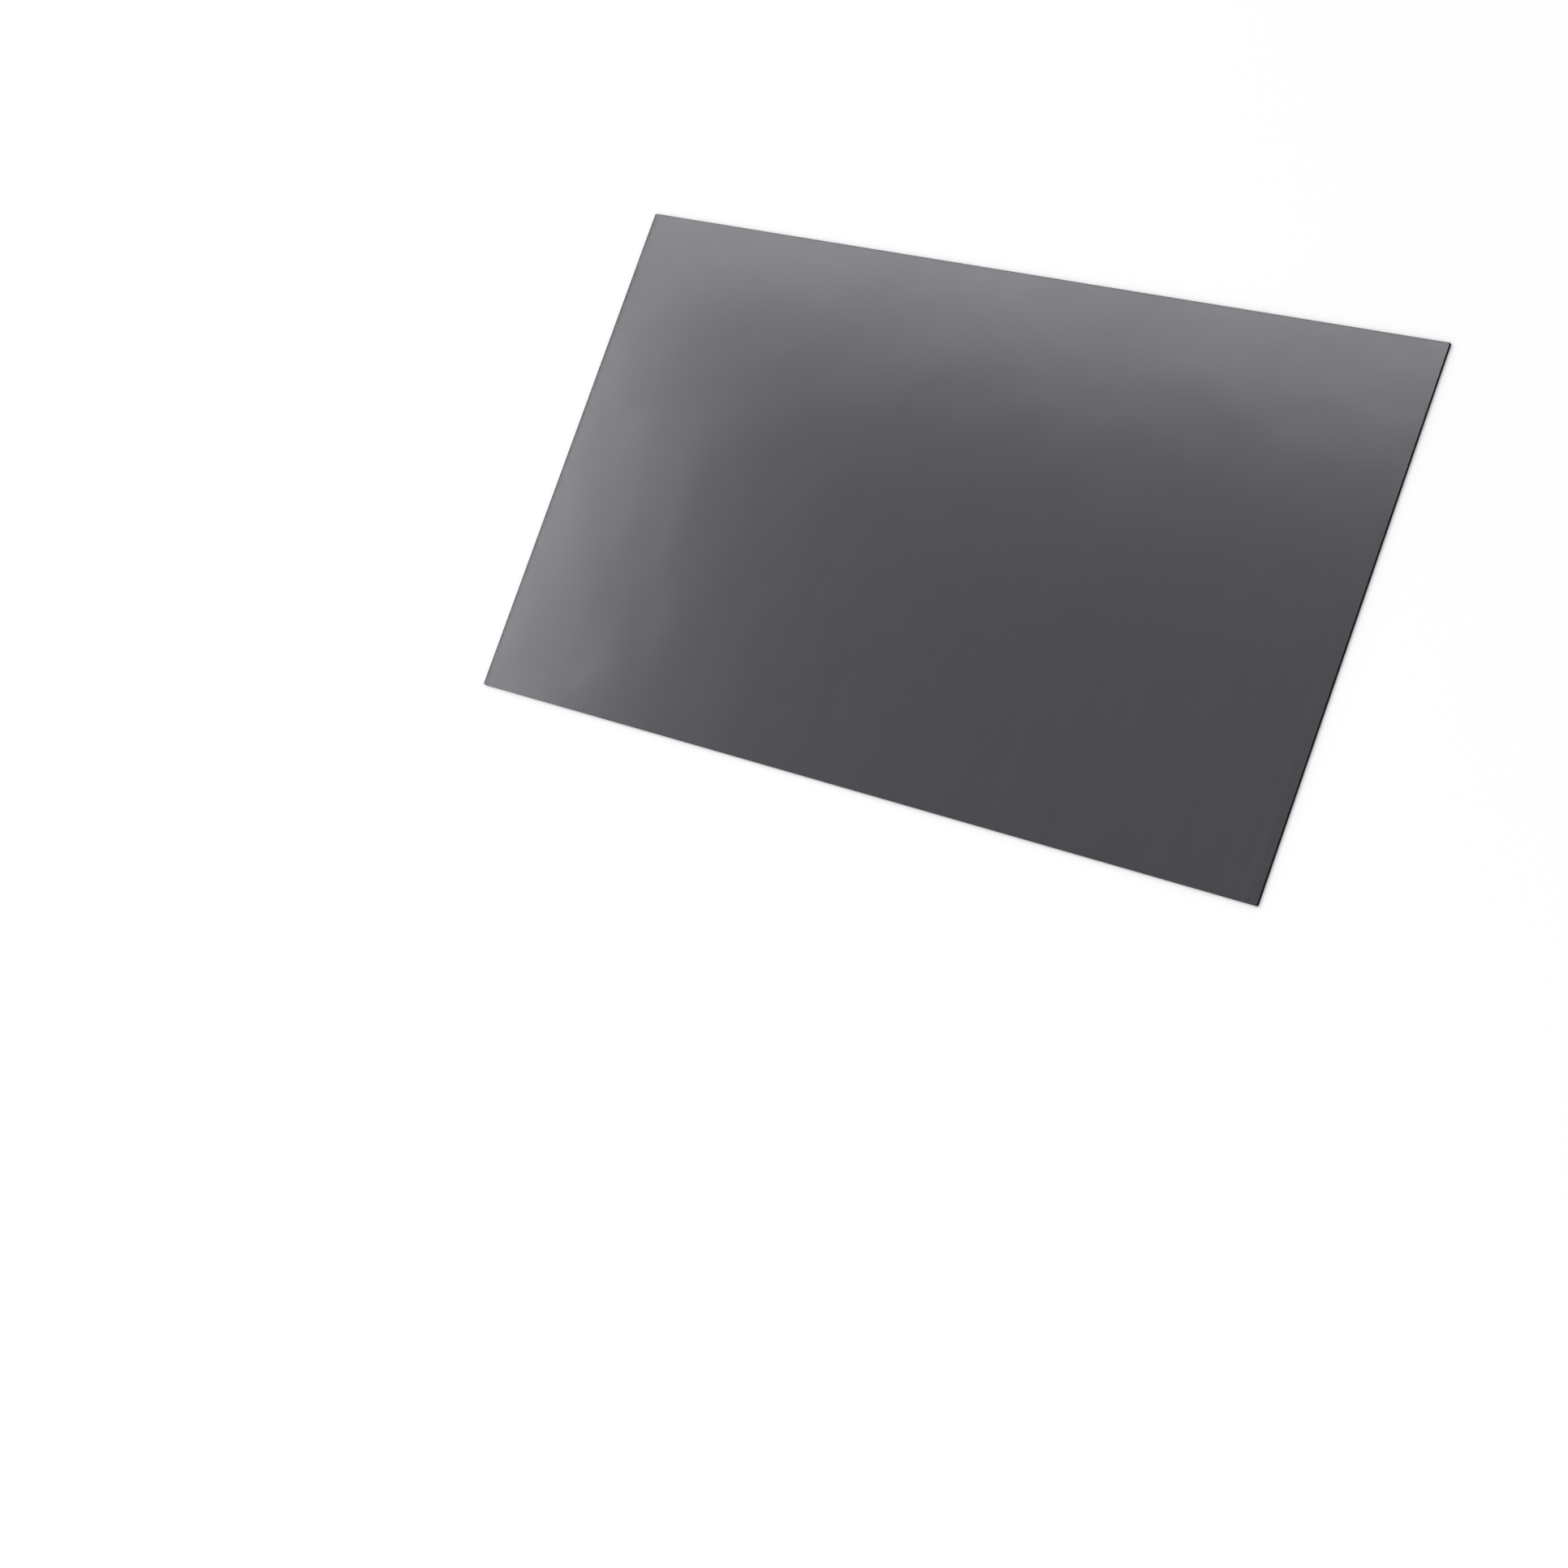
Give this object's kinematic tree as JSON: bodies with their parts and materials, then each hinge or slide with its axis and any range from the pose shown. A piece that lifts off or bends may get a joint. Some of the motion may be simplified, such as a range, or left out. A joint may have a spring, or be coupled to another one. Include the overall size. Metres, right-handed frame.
{
  "type": "privacy screen protector",
  "caption": "Thin flat rectangular sheet of dark see-through louvred film that covers a laptop display and narrows its viewing angle.",
  "frame": {"origin": "middle of the face that lies against the display, which is the sheet's underside as it lies flat", "axes": "+X along the long edges to the user's right, +Y towards the top edge, +Z out of the face that the user looks at"},
  "size_m": [0.344, 0.194, 0.0008],
  "materials": {
    "film": "satin"
  },
  "bodies": {
    "root": {"privacy_film": "film"}
  },
  "joints": []
}
